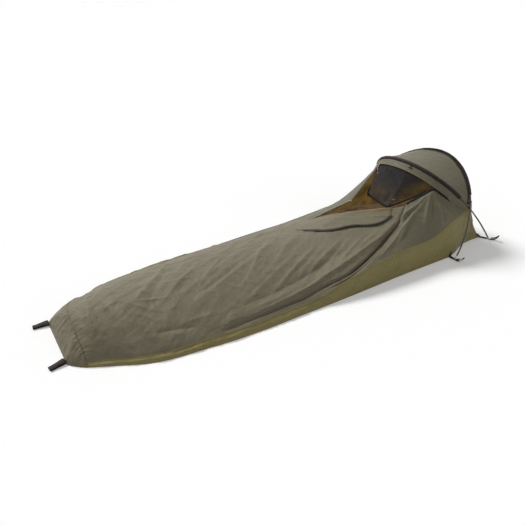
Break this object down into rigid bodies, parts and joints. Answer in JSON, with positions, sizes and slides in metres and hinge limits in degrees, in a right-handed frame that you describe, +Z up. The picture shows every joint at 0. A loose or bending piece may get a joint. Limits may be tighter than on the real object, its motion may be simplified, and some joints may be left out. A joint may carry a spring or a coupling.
{
  "type": "bivvy tent",
  "caption": "Low hooped bivvy tent with a flat floor, tub walls, zipped door folded back on the cover, net door, hood on crossing arched poles and webbing peg loops",
  "frame": {"origin": "on the ground, under the middle of the box round the pitched tent", "axes": "+X to the head end, -Y to the side that the door is folded towards, +Z up"},
  "size_m": [2.5284, 1.006, 0.459],
  "materials": {
    "cover_cloth": "coated ripstop, matt",
    "black_plastic": "moulded",
    "zip_black": "woven tape with a plastic chain",
    "webbing": "woven tape",
    "zinc_metal": "plated",
    "wall_cloth": "coated cloth, matt",
    "floor_cloth": "coated cloth, dull sheen",
    "insert_alloy": "bare",
    "pole_alloy": "dark anodised",
    "sleeve_cloth": "woven, matt",
    "elastic_cord": "braided cover",
    "net_black": "fine mesh"
  },
  "bodies": {
    "shell": {"far_crossing_hook": "black_plastic", "far_front_pole_tip": "zinc_metal", "far_head_grommet": "zinc_metal", "far_head_strap": "webbing", "far_rear_pole_tip": "zinc_metal", "far_shoulder_grommet": "zinc_metal", "far_shoulder_strap": "webbing", "far_side_wall": "wall_cloth", "far_wing_panel": "cover_cloth", "far_zip_tape": "zip_black", "floor_sheet": "floor_cloth", "foot_panel": "cover_cloth", "front_pole_insert_1": "insert_alloy", "front_pole_insert_2": "insert_alloy", "front_pole_insert_3": "insert_alloy", "front_pole_section_1": "pole_alloy", "front_pole_section_2": "pole_alloy", "front_pole_section_3": "pole_alloy", "front_pole_section_4": "pole_alloy", "front_pole_sleeve": "sleeve_cloth", "front_shock_cord": "elastic_cord", "hood_brow": "cover_cloth", "hood_canopy": "cover_cloth", "near_crossing_hook": "black_plastic", "near_front_pole_tip": "zinc_metal", "near_head_grommet": "zinc_metal", "near_head_strap": "webbing", "near_rear_pole_tip": "zinc_metal", "near_shoulder_grommet": "zinc_metal", "near_shoulder_strap": "webbing", "near_side_wall": "wall_cloth", "near_wing_panel": "cover_cloth", "near_zip_tape": "zip_black", "net_door": "net_black", "net_zip_tape": "zip_black", "rear_pole_insert_1": "insert_alloy", "rear_pole_insert_2": "insert_alloy", "rear_pole_insert_3": "insert_alloy", "rear_pole_section_1": "pole_alloy", "rear_pole_section_2": "pole_alloy", "rear_pole_section_3": "pole_alloy", "rear_pole_section_4": "pole_alloy", "rear_pole_sleeve": "sleeve_cloth", "rear_shock_cord": "elastic_cord", "rear_wall": "wall_cloth", "top_cover": "cover_cloth"},
    "door": {"door_flap": "cover_cloth", "door_zip_tape": "zip_black"},
    "far_slider": {"far_zip_slider": "zinc_metal"},
    "far_pull": {"far_zip_pull": "zinc_metal"},
    "net_slider": {"net_zip_slider": "zinc_metal"},
    "net_pull": {"net_zip_pull": "zinc_metal"},
    "toggle": {"door_toggle": "black_plastic", "toggle_loop": "webbing"},
    "near_shoulder_peg_loop": {"near_shoulder_peg_loop": "webbing"},
    "near_head_peg_loop": {"near_head_peg_loop": "webbing"},
    "near_foot_loop": {"near_foot_loop": "webbing"},
    "far_shoulder_peg_loop": {"far_shoulder_peg_loop": "webbing"},
    "far_head_peg_loop": {"far_head_peg_loop": "webbing"},
    "far_foot_loop": {"far_foot_loop": "webbing"}
  },
  "joints": [
    {"name": "door_fold", "type": "hinge", "parent": "shell", "child": "door", "pos_m": [0.47401, 0.00457, 0.20106], "axis": [-0.6761, 0.6949, -0.2449], "range_deg": [0, 150]},
    {"name": "far_slider_travel", "type": "slide", "parent": "shell", "child": "far_slider", "axis": [-0.9857, 0, -0.1687], "range_m": [0, 0.222]},
    {"name": "far_pull_swing", "type": "hinge", "parent": "far_slider", "child": "far_pull", "pos_m": [0.6042, 0.16186, 0.19829], "axis": [0.0732, 0.9009, -0.4279], "range_deg": [0, 150]},
    {"name": "net_slider_travel", "type": "slide", "parent": "shell", "child": "net_slider", "axis": [0.2007, 0.9797, 0.0037], "range_m": [0, 0.209]},
    {"name": "net_pull_swing", "type": "hinge", "parent": "net_slider", "child": "net_pull", "pos_m": [0.69349, -0.05189, 0.19902], "axis": [0.2007, 0.9797, 0.0037], "range_deg": [-60, 60]},
    {"name": "toggle_swing", "type": "hinge", "parent": "shell", "child": "toggle", "pos_m": [0.83595, -0.06, 0.4355], "axis": [0, 1, 0], "range_deg": [0, 60]},
    {"name": "near_shoulder_loop_turn", "type": "hinge", "parent": "shell", "child": "near_shoulder_peg_loop", "pos_m": [0.85563, -0.4682, 0.0061], "axis": [-1, 0, 0], "range_deg": [0, 75]},
    {"name": "near_head_loop_turn", "type": "hinge", "parent": "shell", "child": "near_head_peg_loop", "pos_m": [1.24104, -0.41108, 0.0061], "axis": [-0.8869, -0.4619, 0], "range_deg": [0, 75]},
    {"name": "near_foot_loop_turn", "type": "hinge", "parent": "shell", "child": "near_foot_loop", "pos_m": [-1.20067, -0.15, 0.0086], "axis": [-0.2079, 0.9781, 0], "range_deg": [0, 90]},
    {"name": "far_shoulder_loop_turn", "type": "hinge", "parent": "shell", "child": "far_shoulder_peg_loop", "pos_m": [0.85563, 0.4682, 0.0061], "axis": [1, 0, 0], "range_deg": [0, 75]},
    {"name": "far_head_loop_turn", "type": "hinge", "parent": "shell", "child": "far_head_peg_loop", "pos_m": [1.24104, 0.41108, 0.0061], "axis": [0.8869, -0.4619, 0], "range_deg": [0, 75]},
    {"name": "far_foot_loop_turn", "type": "hinge", "parent": "shell", "child": "far_foot_loop", "pos_m": [-1.19894, 0.158, 0.0086], "axis": [0.0698, 0.9976, 0], "range_deg": [0, 90]}
  ]
}
